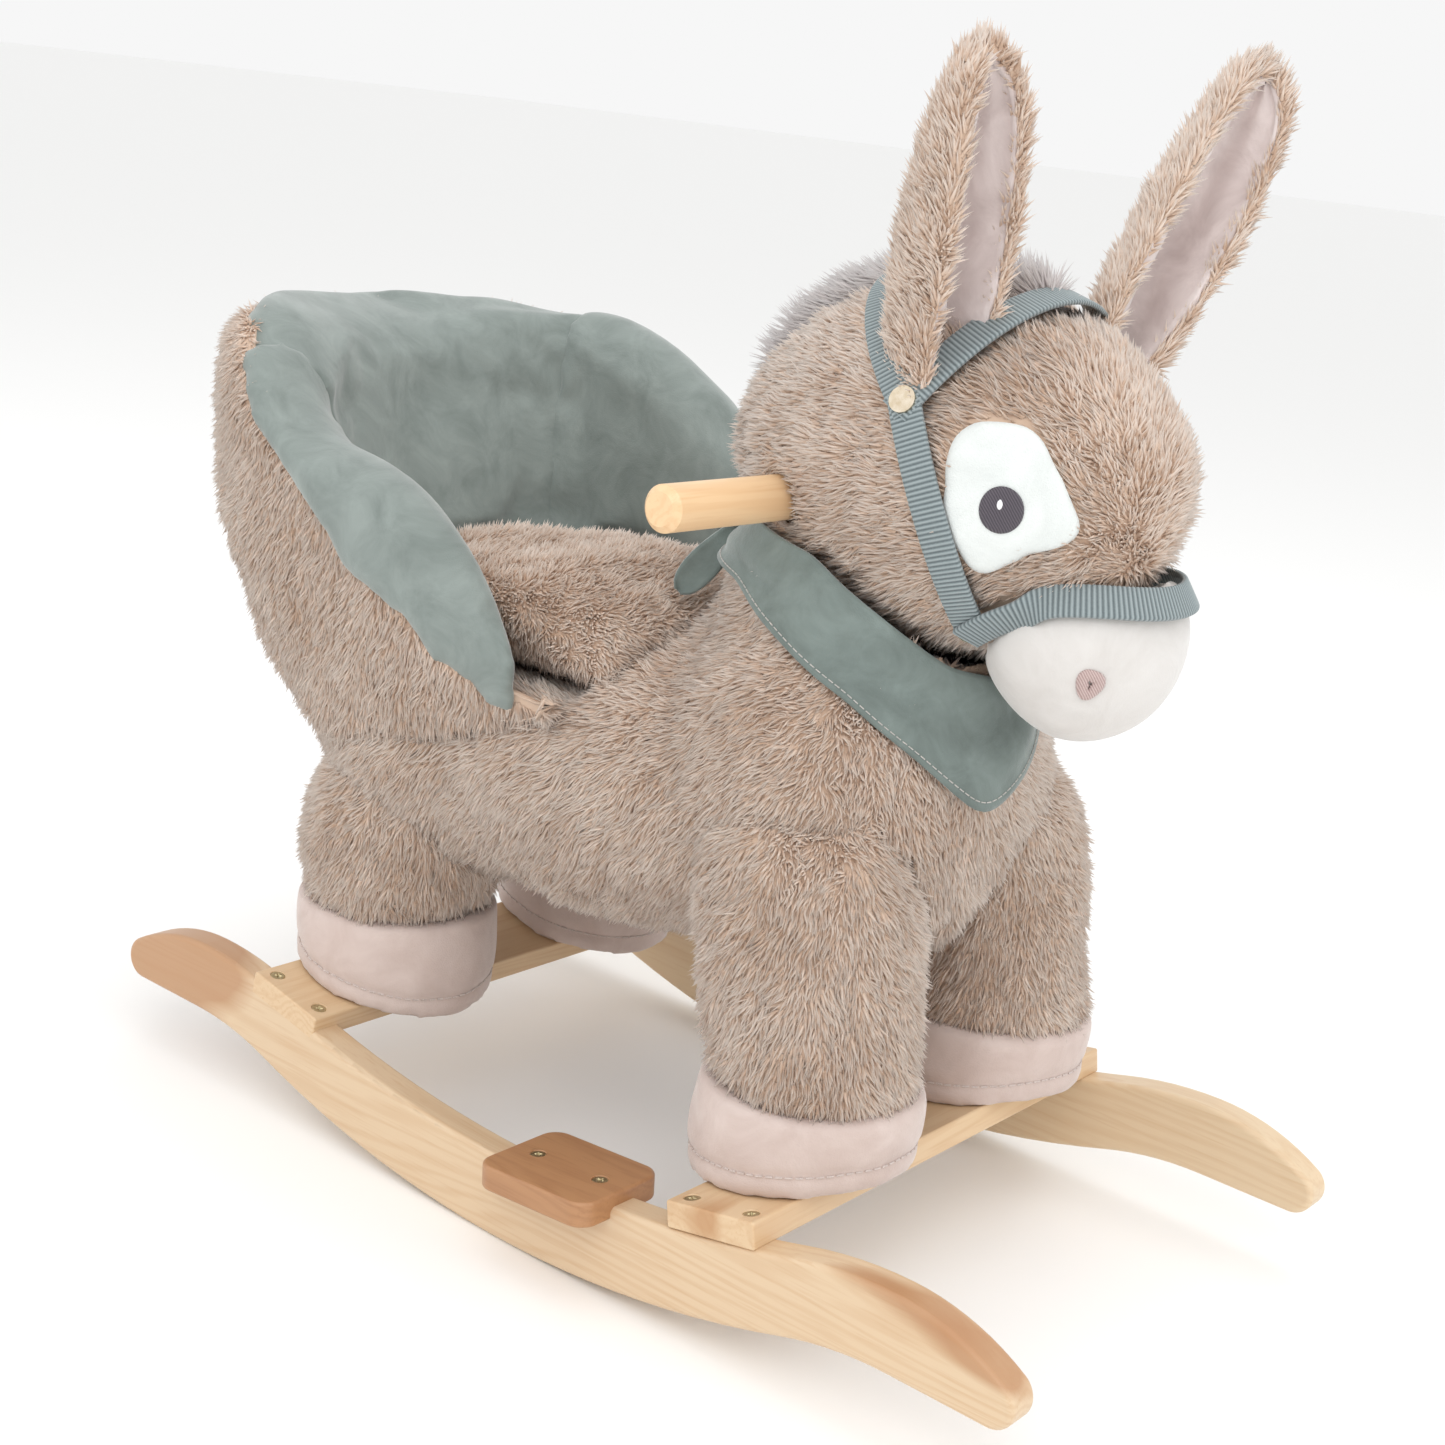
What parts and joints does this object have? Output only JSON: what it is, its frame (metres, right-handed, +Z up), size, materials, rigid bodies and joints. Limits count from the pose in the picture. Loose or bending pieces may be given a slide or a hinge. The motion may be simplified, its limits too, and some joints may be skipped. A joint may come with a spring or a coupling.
{
  "type": "rocking horse",
  "caption": "Plush donkey rocker with a padded bucket seat, turned handle and bridle on a wooden rocking frame with foot rests.",
  "frame": {"origin": "on the floor midway between the two rockers, under the lowest point of their arcs, standing level", "axes": "+X forward towards the donkey's head, +Y to the donkey's left, +Z up"},
  "size_m": [0.6396, 0.338, 0.5902],
  "materials": {
    "pine": "clear matt lacquer",
    "heartwood": "clear matt lacquer",
    "beech": "turned and lacquered",
    "plywood": "raw",
    "screw_steel": "yellow zinc",
    "plush": "long pile plush",
    "grey_plush": "long pile plush",
    "suede": "brushed microsuede",
    "hoof_velour": "short pile velour",
    "muzzle_velour": "short pile velour",
    "ear_velour": "short pile velour",
    "white_felt": "felt",
    "dark_embroidery": "satin stitch",
    "pink_embroidery": "satin stitch",
    "webbing": "ribbed polyester webbing",
    "nickel": "polished"
  },
  "bodies": {
    "root": {"rocker_right": "pine", "rocker_left": "pine", "footrest_right": "heartwood", "footrest_left": "heartwood", "front_cross_slat": "pine", "rear_cross_slat": "pine", "slat_screws": "screw_steel", "footrest_screws": "screw_steel", "front_leg_post_right": "plywood", "front_leg_post_left": "plywood", "rear_leg_post_right": "plywood", "rear_leg_post_left": "plywood", "leg_post_screws": "screw_steel", "seat_board": "plywood", "seat_board_screws": "screw_steel", "neck_post": "plywood", "handle_bar": "beech", "back_board": "plywood", "seat_wall": "plush", "lining_back": "suede", "lining_right": "suede", "lining_left": "suede", "seat_pad": "plush", "torso": "plush", "tail": "grey_plush", "front_leg_right": "plush", "front_leg_left": "plush", "rear_leg_right": "plush", "rear_leg_left": "plush", "front_hoof_right": "hoof_velour", "front_hoof_left": "hoof_velour", "rear_hoof_right": "hoof_velour", "rear_hoof_left": "hoof_velour", "head": "plush", "muzzle": "muzzle_velour", "ear_right": "plush", "ear_left": "plush", "ear_lining_right": "ear_velour", "ear_lining_left": "ear_velour", "mane": "grey_plush", "eye_patch_right": "white_felt", "eye_patch_left": "white_felt", "pupil_right": "dark_embroidery", "pupil_left": "dark_embroidery", "nostrils": "pink_embroidery", "bridle_noseband": "webbing", "bridle_cheek_right": "webbing", "bridle_cheek_left": "webbing", "bridle_browband": "webbing", "bridle_crownband": "webbing", "bridle_rivets": "nickel", "neckerchief": "suede", "neckerchief_knot": "suede"}
  },
  "joints": []
}
